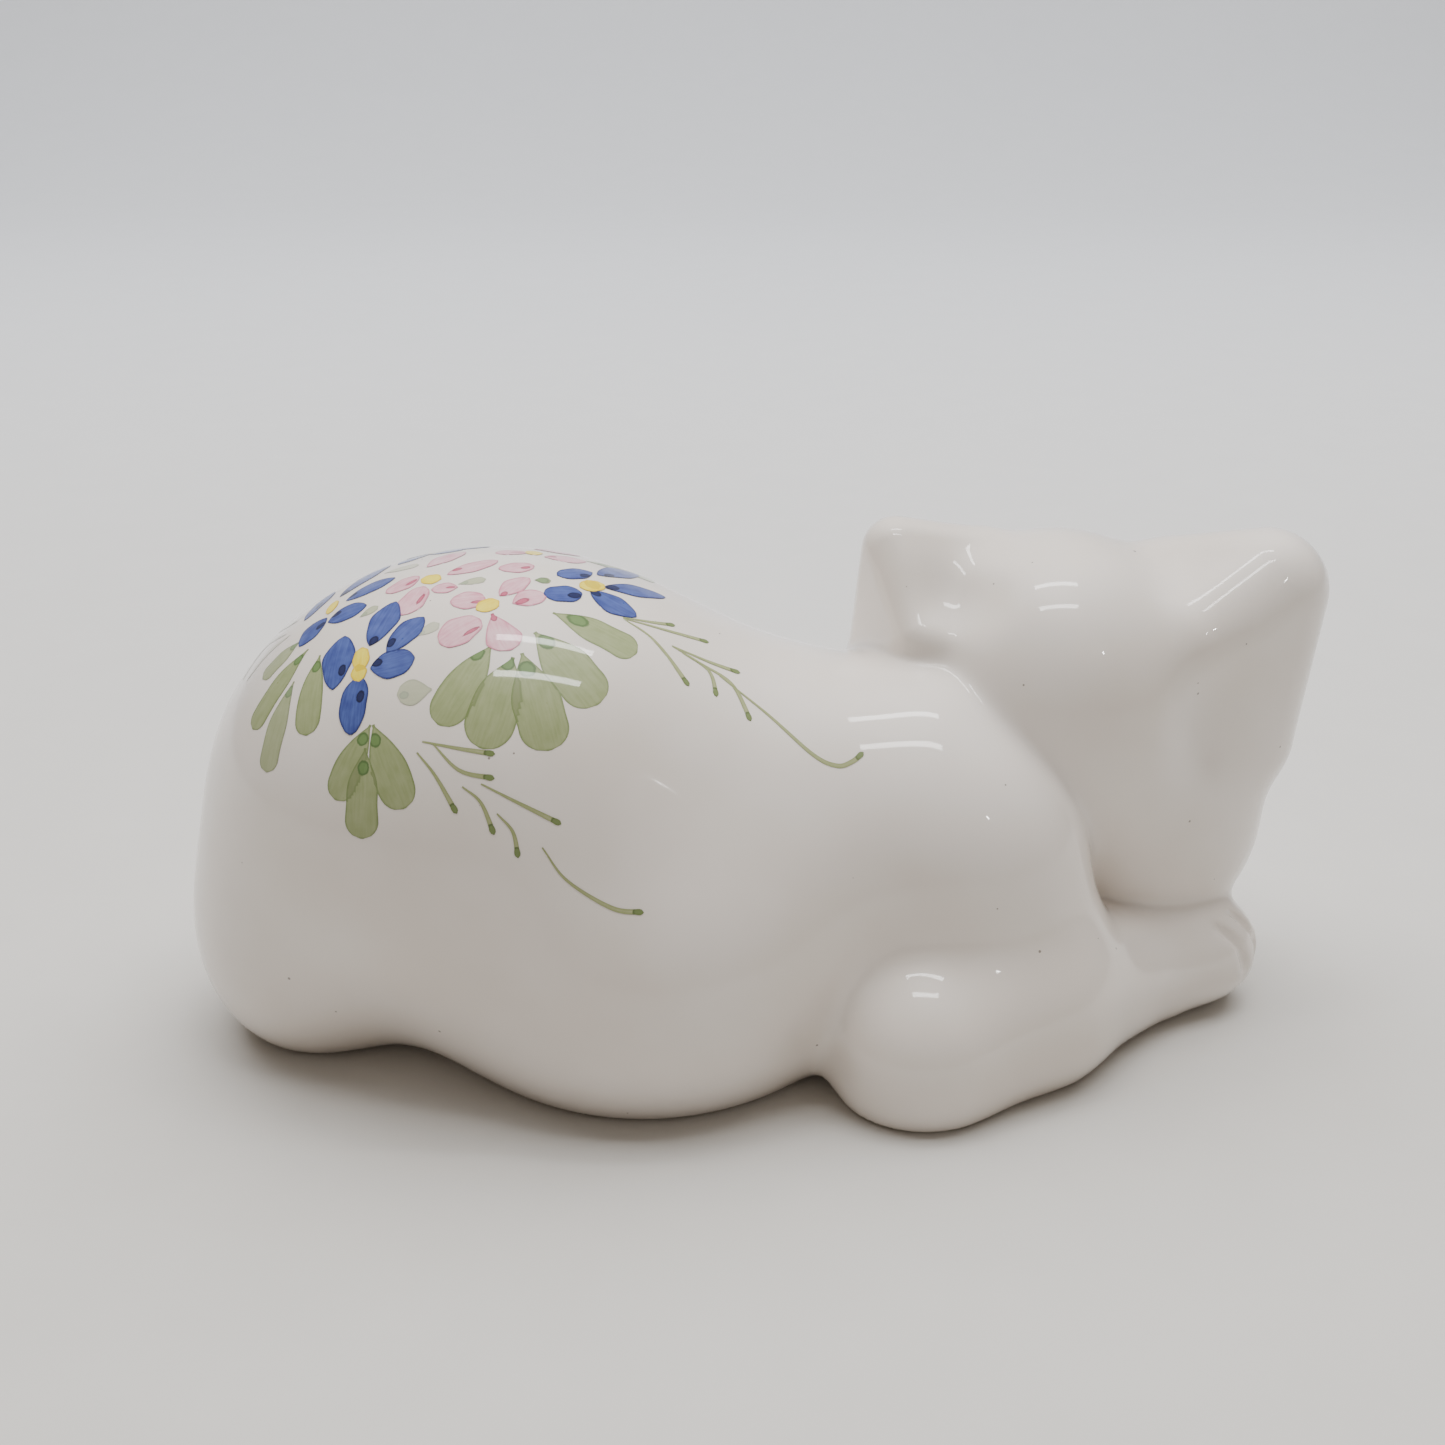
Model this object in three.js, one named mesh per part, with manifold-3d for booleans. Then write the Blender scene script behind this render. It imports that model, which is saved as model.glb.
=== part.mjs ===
// A sleeping cat figurine in slip-cast, glazed white earthenware with a hand-painted posy on its back.
// Millimetres, +Z up. The base is on z = 0, the head is towards +X and the back of the head towards -Y.
// The figure is a smooth blend of simple masses. The same masses give the castings that are luted
// together: torso, head, two ears, two forelegs and a tail. The brush strokes lie on the torso.

import * as THREE from 'three';
import { surfaceNet } from 'three/addons/libs/surfaceNet.js';
import { MeshoptSimplifier } from 'three/addons/libs/meshopt_simplifier.module.js';
import { mergeVertices } from 'three/addons/utils/BufferGeometryUtils.js';
import Module from 'manifold-3d';

const wasm = await Module();
wasm.setup();
await MeshoptSimplifier.ready;

// ---- Driving dimensions ----

const WALL = 4.5;          // thickness of the cast wall
const SEAM = 0.4;          // gap left between two luted castings
const VENT_RADIUS = 10;    // drain and vent hole in the base
const VENT_CENTRE = [-24, 2];
const LIMB_LEVEL = 2;      // a limb is luted on this far outside the torso's own mass
const EAR_LEVEL = 1.6;     // and an ear this far outside the head's

// A surface is found on a grid of cells, then thinned until facets stray by a chord at most.
const OUTSIDE = { cell: 3, chord: 0.38 };
const CAVITY = { cell: 5.5, chord: 1 };
const JOINT = { cell: 5, chord: 0.1 };
const SLIVER = 0.04;       // facets this thin are merged after a cut

const PAINT_BOTTOM = 0.5;  // the paint layer, measured out from the body
const PAINT_TOP = 0.75;
const PAINT_GAP = 0.3;     // gap between one motif and the next
const CENTRE_LEVELS = { bottom: 1.05, top: 1.25 };   // the yellow spot lies on the petals
const PETAL_LENGTH = 8.5;
const PETAL_WIDTH = 5.2;
const LEAF_WIDTH = 8.6;
const HUB_RADIUS = 2.4;    // the petals of a flower meet in a disc of this radius
const CENTRE_RADIUS = 1.9;
const TENDRIL_WIDTH = 1.1;
const TENDRIL_DOT = 1.2;

const BOUNDS = [[-120, -68, -30], [118, 78, 112]];
const BASE_MIDDLE = [-0.8, 3.75, 0];  // the middle of the whole footprint, which is the part's origin
const PAINT_ORIGIN = [-46, 5, 35];   // lean angles of the painted strokes are taken about this point

// ---- Signed distances of the masses ----

const degrees = Math.PI / 180;

function blend(a, b, width) {
  const h = Math.max(width - Math.abs(a - b), 0) / width;
  return Math.min(a, b) - h * h * h * width / 6;
}

function ellipsoid([cx, cy, cz], [rx, ry, rz], turn = 0) {
  const c = Math.cos(turn * degrees);
  const s = Math.sin(turn * degrees);
  return (x, y, z) => {
    const u = c * (x - cx) + s * (y - cy);
    const v = c * (y - cy) - s * (x - cx);
    const w = z - cz;
    const near = Math.sqrt((u / rx) ** 2 + (v / ry) ** 2 + (w / rz) ** 2);
    const slope = Math.sqrt((u / rx ** 2) ** 2 + (v / ry ** 2) ** 2 + (w / rz ** 2) ** 2);
    return near * (near - 1) / Math.max(slope, 1e-9);
  };
}

// A limb segment: the hull of a sphere of radius r1 at a and one of radius r2 at b.
function roundCone(a, b, r1, r2) {
  const axis = [b[0] - a[0], b[1] - a[1], b[2] - a[2]];
  const l2 = axis[0] ** 2 + axis[1] ** 2 + axis[2] ** 2;
  const dr = r1 - r2;
  const side = l2 - dr * dr;
  return (x, y, z) => {
    const px = x - a[0];
    const py = y - a[1];
    const pz = z - a[2];
    const along = px * axis[0] + py * axis[1] + pz * axis[2];
    const past = along - l2;
    const qx = px * l2 - along * axis[0];
    const qy = py * l2 - along * axis[1];
    const qz = pz * l2 - along * axis[2];
    const off2 = qx * qx + qy * qy + qz * qz;
    const edge = Math.sign(dr) * dr * dr * off2;
    if (Math.sign(past) * side * past * past * l2 > edge) {
      return Math.sqrt(off2 + past * past * l2) / l2 - r2;
    }
    if (Math.sign(along) * side * along * along * l2 < edge) {
      return Math.sqrt(off2 + along * along * l2) / l2 - r1;
    }
    return (Math.sqrt(off2 * side / l2) + along * dr) / l2 - r1;
  };
}

function limb(points, radii, width) {
  const parts = [];
  for (let i = 0; i + 1 < points.length; i += 1) {
    parts.push(roundCone(points[i], points[i + 1], radii[i], radii[i + 1]));
  }
  return (x, y, z) => {
    let d = parts[0](x, y, z);
    for (let i = 1; i < parts.length; i += 1) {
      d = blend(d, parts[i](x, y, z), width);
    }
    return d;
  };
}

// An ear: the tetrahedron on four corners, swollen by a radius.
function swollenTetrahedron(corners, radius) {
  const points = corners.map((p) => new THREE.Vector3(...p));
  const faces = [[0, 1, 2], [0, 1, 3], [0, 2, 3], [1, 2, 3]].map(([i, j, k]) => {
    const triangle = new THREE.Triangle(points[i], points[j], points[k]);
    const plane = triangle.getPlane(new THREE.Plane());
    const inner = points[6 - i - j - k];
    if (plane.distanceToPoint(inner) > 0) plane.negate();
    return { triangle, plane };
  });
  const p = new THREE.Vector3();
  const q = new THREE.Vector3();
  return (x, y, z) => {
    p.set(x, y, z);
    let inside = -Infinity;
    let outside = Infinity;
    for (const { triangle, plane } of faces) {
      inside = Math.max(inside, plane.distanceToPoint(p));
      triangle.closestPointToPoint(p, q);
      outside = Math.min(outside, p.distanceTo(q));
    }
    return (inside < 0 ? inside : outside) - radius;
  };
}

// ---- The masses of the cat ----

const rump = ellipsoid([-46, 2.5, 41.5], [52, 43, 44.5]);
const belly = ellipsoid([-20.5, -4.5, 21], [40, 42.5, 34]);
const chest = ellipsoid([9.5, 2, 35], [34, 29.5, 31]);
const nape = ellipsoid([29, 1.5, 47.5], [16, 19, 19]);
const farShoulder = ellipsoid([30, 20, 29], [26, 20, 27]);
const haunch = ellipsoid([-79.5, 0.5, 19.5], [22, 27, 25]);
const nearShoulder = ellipsoid([33, -8.5, 33], [24, 21.5, 25.5]);

function torsoMass(x, y, z) {
  let d = blend(rump(x, y, z), belly(x, y, z), 20);
  d = blend(d, chest(x, y, z), 34);
  d = blend(d, nape(x, y, z), 16);
  d = blend(d, farShoulder(x, y, z), 18);
  d = blend(d, haunch(x, y, z), 17);
  return blend(d, nearShoulder(x, y, z), 14);
}

const skull = ellipsoid([52.5, 15, 58], [27, 27, 28.5]);
const jaw = ellipsoid([70, 16, 33.5], [22.5, 19, 25]);
const muzzle = ellipsoid([63, 38, 39], [15, 11, 11]);

function headMass(x, y, z) {
  const d = blend(skull(x, y, z), jaw(x, y, z), 24);
  return blend(d, muzzle(x, y, z), 12);
}

const rightEarMass = swollenTetrahedron([[89, 14, 76.5], [75.5, 8, 68], [74.5, 20, 73], [86, 15.5, 49]], 11);
const leftEarMass = swollenTetrahedron([[23.5, 16.5, 83], [28, 6, 71], [38, 19.5, 80], [22, 22.5, 61.5]], 6);

const rightForearm = limb([[26.5, -28.5, 9], [46, -17.5, 11], [68, 0, 9]], [15.5, 14.5, 11.5], 10);
const rightUpperArm = roundCone([28, -26, 10], [44, -12, 20], 14.5, 15.5);
const rightPaw = ellipsoid([80, 5, 10], [12, 11, 10.5], 30);

function rightForelegMass(x, y, z) {
  const d = blend(rightForearm(x, y, z), rightUpperArm(x, y, z), 12);
  return blend(d, rightPaw(x, y, z), 10);
}

const leftForelegMass = limb([[34, 36, 13], [54, 41, 12], [76, 33, 10]], [14, 12, 9.5], 10);
const tailMass = limb([[-84, 22, 10], [-62, 37.5, 9], [-28, 43, 8.5], [2, 40, 8]], [11, 9.5, 8.5, 8], 8);

function bodySide(x, y, z) {
  let d = blend(torsoMass(x, y, z), rightForelegMass(x, y, z), 9);
  d = blend(d, leftForelegMass(x, y, z), 10);
  return blend(d, tailMass(x, y, z), 6);
}

function headSide(x, y, z) {
  const d = blend(headMass(x, y, z), rightEarMass(x, y, z), 10);
  return blend(d, leftEarMass(x, y, z), 9);
}

// Shallow dips in the head: behind the left ear, and under the right ear.
const dipBehindEar = ellipsoid([32, -1, 83], [7.5, 8, 8]);
const dipUnderEar = ellipsoid([82, -9, 59], [8.5, 9, 12]);

function figure(x, y, z) {
  const d = blend(bodySide(x, y, z), headSide(x, y, z), 5);
  return -blend(blend(-d, dipBehindEar(x, y, z), 8), dipUnderEar(x, y, z), 10);
}

// The slip drains from the torso and the head: the ears, the legs and the tail are solid.
function hollow(x, y, z) {
  return blend(torsoMass(x, y, z), headMass(x, y, z), 5) + WALL;
}

// ---- From a distance to a closed solid ----

function gradient(field, x, y, z) {
  const step = 0.05;
  return [
    (field(x + step, y, z) - field(x - step, y, z)) / (2 * step),
    (field(x, y + step, z) - field(x, y - step, z)) / (2 * step),
    (field(x, y, z + step) - field(x, y, z - step)) / (2 * step),
  ];
}

// Moves a point along the gradient until it lies where the field equals level.
function settle(field, point, level = 0, reach = Infinity) {
  const p = [...point];
  for (let pass = 0; pass < 4; pass += 1) {
    const g = gradient(field, ...p);
    const g2 = g[0] ** 2 + g[1] ** 2 + g[2] ** 2;
    if (g2 < 1e-6) break;
    const miss = (field(...p) - level) / g2;
    const limit = Math.min(1, reach / (Math.abs(miss) * Math.sqrt(g2) + 1e-9));
    for (let i = 0; i < 3; i += 1) p[i] -= miss * g[i] * limit;
  }
  return p;
}

function solidFromMesh(positions, triangles) {
  const vertProperties = Float32Array.from(positions.flat());
  const triVerts = Uint32Array.from(triangles.flat());
  return new wasm.Manifold(new wasm.Mesh({ numProp: 3, vertProperties, triVerts }));
}

// Drops the points that no triangle uses any more.
function onlyUsed(positions, cells) {
  const used = [...new Set(cells)];
  const place = new Map(used.map((old, i) => [old, i]));
  return [used.map((old) => positions[old]), Array.from(cells, (old) => place.get(old))];
}

function solidFromField(field, { cell, chord }) {
  const [low, high] = BOUNDS;
  const counts = low.map((v, i) => Math.round((high[i] - v) / cell));
  const scale = counts.map((n, i) => (high[i] - low[i]) / n);
  const samples = new Float64Array(counts[0] * counts[1] * counts[2]).fill(NaN);
  const inset = cell * 1.5;
  const sample = (x, y, z) => {
    const i = Math.round((x - low[0]) / scale[0]);
    const j = Math.round((y - low[1]) / scale[1]);
    const k = Math.round((z - low[2]) / scale[2]);
    const at = (k * counts[1] + j) * counts[0] + i;
    if (Number.isNaN(samples[at])) samples[at] = closed(x, y, z);
    return samples[at];
  };
  const edgeOfGrid = (x, y, z) => Math.max(
    low[0] + inset - x, x - high[0] + 2 * inset,
    low[1] + inset - y, y - high[1] + 2 * inset,
    low[2] + inset - z, z - high[2] + 2 * inset,
  );
  const closed = (x, y, z) => Math.max(field(x, y, z), edgeOfGrid(x, y, z));
  const net = surfaceNet(counts, sample, BOUNDS);
  const positions = net.positions.map((p) => {
    const onField = Math.abs(field(...p)) < Math.abs(edgeOfGrid(...p));
    return onField ? settle(field, p, 0, cell / 2) : p;
  });
  const [cells] = MeshoptSimplifier.simplify(
    Uint32Array.from(net.cells.flat()), Float32Array.from(positions.flat()), 3, 0, chord, ['ErrorAbsolute'],
  );
  return solidFromMesh(...onlyUsed(positions, cells));
}

function solidFromGeometry(geometry) {
  const bare = geometry.clone();
  bare.deleteAttribute('normal');
  bare.deleteAttribute('uv');
  const merged = mergeVertices(bare);
  const vertProperties = Float32Array.from(merged.attributes.position.array);
  const triVerts = Uint32Array.from(merged.index.array);
  return new wasm.Manifold(new wasm.Mesh({ numProp: 3, vertProperties, triVerts }));
}

function largestPieces(solid, count) {
  return solid.decompose().sort((a, b) => b.volume() - a.volume()).slice(0, count);
}

function geometryOf(solid) {
  const mesh = solid.getMesh();
  const geometry = new THREE.BufferGeometry();
  geometry.setAttribute('position', new THREE.BufferAttribute(Float32Array.from(mesh.vertProperties), 3));
  geometry.setIndex(new THREE.BufferAttribute(Uint32Array.from(mesh.triVerts), 1));
  geometry.computeVertexNormals();
  return geometry;
}

// ---- Materials ----

const glaze = new THREE.MeshStandardMaterial({ color: 0xe9e4df, roughness: 0.12, metalness: 0 });
const cobaltPaint = new THREE.MeshStandardMaterial({ color: 0x3b4f96, roughness: 0.15, metalness: 0 });
const rosePaint = new THREE.MeshStandardMaterial({ color: 0xe6b3c0, roughness: 0.15, metalness: 0 });
const yellowPaint = new THREE.MeshStandardMaterial({ color: 0xf2d83c, roughness: 0.15, metalness: 0 });
const leafPaint = new THREE.MeshStandardMaterial({ color: 0xa3b07f, roughness: 0.15, metalness: 0 });

const cat = new THREE.Group();
cat.name = 'sleeping_cat_figurine';

function addPart(name, solid, material) {
  const mesh = new THREE.Mesh(geometryOf(solid), material);
  mesh.name = name;
  cat.add(mesh);
}

// ---- The castings ----

// Everything lower than a height, to cut a flat base.
function below(height) {
  const slab = new THREE.BoxGeometry(400, 400, 100);
  slab.translate(0, 0, height - 50);
  return solidFromGeometry(slab);
}

const ventTool = new THREE.CylinderGeometry(VENT_RADIUS, VENT_RADIUS, 4 * WALL, 40);
ventTool.rotateX(90 * degrees);
ventTool.translate(VENT_CENTRE[0], VENT_CENTRE[1], 0);

const cavity = solidFromField(hollow, CAVITY).subtract(below(WALL));
const casting = solidFromField(figure, OUTSIDE)
  .subtract(below(0))
  .subtract(cavity)
  .subtract(solidFromGeometry(ventTool));

// The head meets the body where the two are equally near.
const headBias = (x, y, z) => headSide(x, y, z) - bodySide(x, y, z);
const headZone = solidFromField((x, y, z) => headBias(x, y, z) + SEAM, JOINT);
const headAndSeam = solidFromField((x, y, z) => headBias(x, y, z) - SEAM, JOINT);
const [headAndEars] = largestPieces(casting.intersect(headZone), 1);
const [bodyAndLimbs] = largestPieces(casting.subtract(headAndSeam), 1);

// What stands out of a mass by more than a level is luted on to it; the rest is the core.
function luted(solid, mass, level, count) {
  const zone = solidFromField((x, y, z) => mass(x, y, z) - level, JOINT);
  const zoneAndSeam = solidFromField((x, y, z) => mass(x, y, z) - level - SEAM, JOINT);
  const [core] = largestPieces(solid.intersect(zone), 1);
  return [core, largestPieces(solid.subtract(zoneAndSeam), count)];
}

const centreOf = (solid) => {
  const { min, max } = solid.boundingBox();
  return min.map((v, i) => (v + max[i]) / 2);
};
const byX = (a, b) => centreOf(a)[0] - centreOf(b)[0];
const byY = (a, b) => centreOf(a)[1] - centreOf(b)[1];

const [head, ears] = luted(headAndEars, headMass, EAR_LEVEL, 2);
const [torso, limbs] = luted(bodyAndLimbs, torsoMass, LIMB_LEVEL, 3);
const [leftEar, rightEar] = ears.sort(byX);
const [tail, ...forelegs] = limbs.sort(byX);
const [rightForeleg, leftForeleg] = forelegs.sort(byY);

addPart('torso', torso.simplify(SLIVER), glaze);
addPart('head', head.simplify(SLIVER), glaze);
addPart('right_ear', rightEar.simplify(SLIVER), glaze);
addPart('left_ear', leftEar.simplify(SLIVER), glaze);
addPart('right_foreleg', rightForeleg.simplify(SLIVER), glaze);
addPart('left_foreleg', leftForeleg.simplify(SLIVER), glaze);
addPart('tail', tail.simplify(SLIVER), glaze);

// ---- Brush strokes on the body ----
// A place on the body is two lean angles in degrees from straight up over PAINT_ORIGIN:
// towards the head, and towards the -Y flank.

function onBody(leanToHead, leanToFlank) {
  const a = leanToHead * degrees;
  const b = leanToFlank * degrees;
  const way = [Math.sin(a), -Math.cos(a) * Math.sin(b), Math.cos(a) * Math.cos(b)];
  let t = 0;
  let p = [...PAINT_ORIGIN];
  for (let pass = 0; pass < 60; pass += 1) {
    t -= bodySide(...p);
    p = way.map((w, i) => PAINT_ORIGIN[i] + w * t);
  }
  return new THREE.Vector3(...p);
}

function normalAt(p) {
  return new THREE.Vector3(...gradient(bodySide, p.x, p.y, p.z)).normalize();
}

// The two directions of the painter's page at a point: along the spine, and up over the back.
function pageAt(p) {
  const normal = normalAt(p);
  const along = new THREE.Vector3(1, 0, 0).addScaledVector(normal, -normal.x).normalize();
  const over = new THREE.Vector3().crossVectors(normal, along);
  return { along, over };
}

function offPage(p, { along, over }, angle, distance) {
  return p.clone()
    .addScaledVector(along, distance * Math.cos(angle * degrees))
    .addScaledVector(over, distance * Math.sin(angle * degrees));
}

// A thin closed ribbon that hugs the body along a route. Each station is how far along it lies and
// how wide the ribbon is there. A broad ribbon has a middle line of points as well as its two edges.
// With spare it is that much larger all round, to keep other strokes away.
function ribbon(route, stations, spare, { broad = false, bottom = PAINT_BOTTOM, top = PAINT_TOP } = {}) {
  const curve = new THREE.CatmullRomCurve3(route);
  const lanes = broad ? [-1, 0, 1] : [-1, 1];
  const flat = stations.flatMap(([s, width], i) => {
    const tangent = curve.getTangentAt(s);
    const centre = new THREE.Vector3(...settle(bodySide, curve.getPointAt(s).toArray()));
    const across = new THREE.Vector3().crossVectors(normalAt(centre), tangent).normalize();
    if (i === 0) centre.addScaledVector(tangent, -spare);
    if (i === stations.length - 1) centre.addScaledVector(tangent, spare);
    const half = width / 2 + spare;
    return lanes.map((lane) => centre.clone().addScaledVector(across, lane * half).toArray());
  });
  const levels = [bottom - spare, top + spare];
  const positions = levels.flatMap((level) => flat.map((point) => settle(bodySide, point, level)));
  const layer = flat.length;
  const n = lanes.length;
  const triangles = [];
  const quad = (a, b, c, d) => triangles.push([a, b, c], [a, c, d]);
  for (let r = 0; r < layer - n; r += n) {
    for (let c = r; c < r + n - 1; c += 1) {
      quad(c, c + 1, c + n + 1, c + n);
      quad(layer + c, layer + c + n, layer + c + n + 1, layer + c + 1);
    }
    const far = r + n - 1;
    quad(r, r + n, layer + r + n, layer + r);
    quad(far + n, far, layer + far, layer + far + n);
  }
  const last = layer - n;
  for (let c = 0; c < n - 1; c += 1) {
    quad(c + 1, c, layer + c, layer + c + 1);
    quad(last + c, last + c + 1, layer + last + c + 1, layer + last + c);
  }
  return solidFromMesh(positions, triangles);
}

function stationsOf(profile, steps) {
  return Array.from({ length: steps + 1 }, (_, i) => [i / steps, profile(i / steps)]);
}

// A round spot: the widths of a circle, read at even angles.
function spot(place, radius, spare = 0, levels = {}) {
  const page = pageAt(place);
  const route = [-1, 0, 1].map((f) => offPage(place, page, 0, f * radius));
  const angles = [18, 54, 90, 126, 162].map((a) => a * degrees);
  const stations = angles.map((a) => [(1 - Math.cos(a)) / 2, 2 * radius * Math.sin(a)]);
  return ribbon(route, stations, spare, levels);
}

const petalWidth = (s) => PETAL_WIDTH * Math.max(Math.sin(Math.PI * s ** 1.1) ** 0.9, 0.16);
const leafWidth = (s) => LEAF_WIDTH * Math.max(Math.sin(Math.PI * s ** 1.3) ** 0.7, 0.15);

function petal(place, page, angle, reach, spare) {
  const inner = HUB_RADIUS - 0.6;
  const outer = reach + PETAL_LENGTH / 2;
  const route = [inner, (inner + outer) / 2, outer].map((r) => offPage(place, page, angle, r));
  return ribbon(route, stationsOf(petalWidth, 4), spare);
}

function leaf([from, to], spare) {
  const a = onBody(...from);
  const b = onBody(...to);
  const middle = new THREE.Vector3(...settle(bodySide, a.clone().lerp(b, 0.5).toArray()));
  return ribbon([a, middle, b], stationsOf(leafWidth, 5), spare, { broad: true });
}

// A stroke that thickens along its way and ends in a dot.
function tendril(places, spare) {
  const route = places.map((place) => onBody(...place));
  const length = new THREE.CatmullRomCurve3(route).getLength();
  const dot = TENDRIL_DOT / length;
  const stroke = stationsOf((s) => TENDRIL_WIDTH * (0.45 + 0.55 * s), 2 * places.length);
  const stations = stroke.filter(([s]) => s < 1 - 2.5 * dot);
  const tip = [[1 - 2.1 * dot, TENDRIL_WIDTH], [1 - 1.6 * dot, 2 * TENDRIL_DOT]];
  tip.push([1 - 0.6 * dot, 2 * TENDRIL_DOT], [1, TENDRIL_DOT]);
  return ribbon(route, [...stations, ...tip], spare);
}

function joined(solids) {
  return solids.reduce((whole, solid) => whole.add(solid));
}

// A motif gives way to the motifs painted before it.
const taken = [];

function addMotif(name, draw, paint) {
  const solid = taken.reduce((rest, earlier) => rest.subtract(earlier), draw(0));
  addPart(name, largestPieces(solid, 1)[0].simplify(SLIVER), paint);
  taken.push(draw(PAINT_GAP));
}

// Each flower: its place, and for each petal the angle on the page and how far out its middle lies.
const flowers = [
  { name: 'blue_flower_1', paint: cobaltPaint, at: [-22.5, 31],
    petals: [[75, 7.5], [30, 7.5], [-30, 6], [-90, 8], [175, 5.5]] },
  { name: 'blue_flower_2', paint: cobaltPaint, at: [-31, 10],
    petals: [[130, 5.5], [60, 8], [5, 7], [-60, 7], [-115, 6]] },
  { name: 'blue_flower_3', paint: cobaltPaint, at: [19, 10],
    petals: [[135, 5.5], [60, 8], [15, 8], [-55, 6], [-135, 6.5]] },
  { name: 'blue_flower_4', paint: cobaltPaint, at: [-11.5, -10],
    petals: [[155, 6], [90, 6], [30, 6.5], [-40, 6], [-110, 6]] },
  { name: 'pink_flower_1', paint: rosePaint, at: [-10.5, 11],
    petals: [[170, 5.5], [-115, 6.5], [85, 7], [30, 7], [-50, 5.5]] },
  { name: 'pink_flower_2', paint: rosePaint, at: [0.5, 20],
    petals: [[150, 5.5], [75, 6], [20, 7], [-125, 7], [-60, 7]] },
  { name: 'pink_flower_3', paint: rosePaint, at: [6, -4],
    petals: [[175, 5.5], [-115, 7], [95, 6.5], [35, 6], [-35, 6]] },
];

for (const { name, paint, at, petals } of flowers) {
  const place = onBody(...at);
  const page = pageAt(place);
  addMotif(`${name}_petals`, (spare) => joined([
    spot(place, HUB_RADIUS, spare),
    ...petals.map(([angle, reach]) => petal(place, page, angle, reach, spare)),
  ]), paint);
  addPart(`${name}_centre`, spot(place, CENTRE_RADIUS, 0, CENTRE_LEVELS), yellowPaint);
}

// Each leaf runs from its stalk end to its round end. Leaves that overlap are one piece.
const leafGroups = {
  leaves_front: [
    [[1.5, 31], [-6.5, 46]],
    [[5.5, 33.5], [0.5, 51]],
    [[8.5, 32.5], [12.5, 51]],
    [[9.5, 28.5], [20, 41]],
  ],
  leaf_shoulder: [[[13, 21], [28.5, 28.5]]],
  leaves_flank: [
    [[-20, 45.5], [-27, 60]],
    [[-21.5, 50], [-22, 68]],
    [[-19.5, 45.5], [-13.5, 62]],
  ],
  leaves_rump: [
    [[-36, 20], [-45.5, 25]],
    [[-36.5, 22.5], [-47, 39]],
    [[-37.5, 29], [-44, 52]],
  ],
  leaf_rump: [[[-31, 27.5], [-34, 45.5]]],
  leaf_small: [[[-14.5, 41], [-8, 39]]],
  leaf_ridge: [[[23, -8], [33, -6]]],
};

for (const [name, leaves] of Object.entries(leafGroups)) {
  addMotif(name, (spare) => joined(leaves.map((ends) => leaf(ends, spare))), leafPaint);
}

// Each tendril is a thin stroke that ends in a dot. Strokes that cross are one piece.
const tendrilGroups = {
  tendril_flank_1: [
    [[-10, 49.5], [-3, 51], [3.5, 52]],
    [[-8, 50], [-3, 55], [3.5, 56.5]],
  ],
  tendril_flank_2: [[[-11, 51.5], [-7.5, 56], [-3.5, 63]]],
  tendril_flank_3: [[[-2.5, 58], [1, 61], [3.5, 67]]],
  tendril_flank_4: [[[1, 57.5], [8, 61], [16, 65]]],
  tendril_flank_5: [[[4, 63], [7, 66.5], [8, 71.5]]],
  tendril_flank_6: [[[12.5, 69.5], [17, 76], [24.5, 81.5], [29.5, 82.5]]],
  tendril_back_1: [
    [[25.5, 18.5], [31, 17], [35.5, 15]],
    [[25.5, 18.8], [34, 18], [42, 16.5]],
    [[25.5, 18.8], [31.5, 22.5], [38.5, 32.5]],
  ],
  tendril_back_2: [
    [[35, 22.5], [41.5, 23.5], [47.5, 24]],
    [[37, 23.5], [42, 26.5], [43.5, 33.5]],
    [[35, 22.5], [40.5, 25], [46, 28.5], [49, 38.5]],
    [[44, 27], [51, 35], [56.5, 46], [59, 49], [60.5, 47.5], [61.5, 44.5]],
  ],
};

for (const [name, strokes] of Object.entries(tendrilGroups)) {
  addMotif(name, (spare) => joined(strokes.map((places) => tendril(places, spare))), leafPaint);
}

cat.position.set(...BASE_MIDDLE).negate();

export default cat;
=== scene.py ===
"""The looks of a sleeping cat figurine: glossy white glazed earthenware with a painted posy on its back.

The body is the surface of a smooth blend of simple masses, meshed finely and split into the castings
that the frame names. The brush strokes are thin skins that lie on it. Work is in millimetres in the
figure's own axes, and metre() carries a point into the frame.
"""
import itertools
import math

import bpy
import numpy as np
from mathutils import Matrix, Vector


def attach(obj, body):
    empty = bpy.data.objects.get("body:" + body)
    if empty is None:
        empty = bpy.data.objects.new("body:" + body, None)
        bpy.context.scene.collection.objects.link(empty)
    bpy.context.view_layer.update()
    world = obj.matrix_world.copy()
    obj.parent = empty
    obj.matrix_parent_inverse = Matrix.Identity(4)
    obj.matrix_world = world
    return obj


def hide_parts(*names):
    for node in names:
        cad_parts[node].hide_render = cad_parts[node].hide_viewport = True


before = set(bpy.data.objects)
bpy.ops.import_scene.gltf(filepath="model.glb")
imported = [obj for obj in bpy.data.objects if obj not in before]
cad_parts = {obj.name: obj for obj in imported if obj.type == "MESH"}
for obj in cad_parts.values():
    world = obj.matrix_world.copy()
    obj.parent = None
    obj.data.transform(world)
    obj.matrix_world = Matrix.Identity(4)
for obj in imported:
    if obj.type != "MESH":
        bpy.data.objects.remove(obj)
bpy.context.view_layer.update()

# ---- Driving dimensions, in millimetres ----

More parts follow.
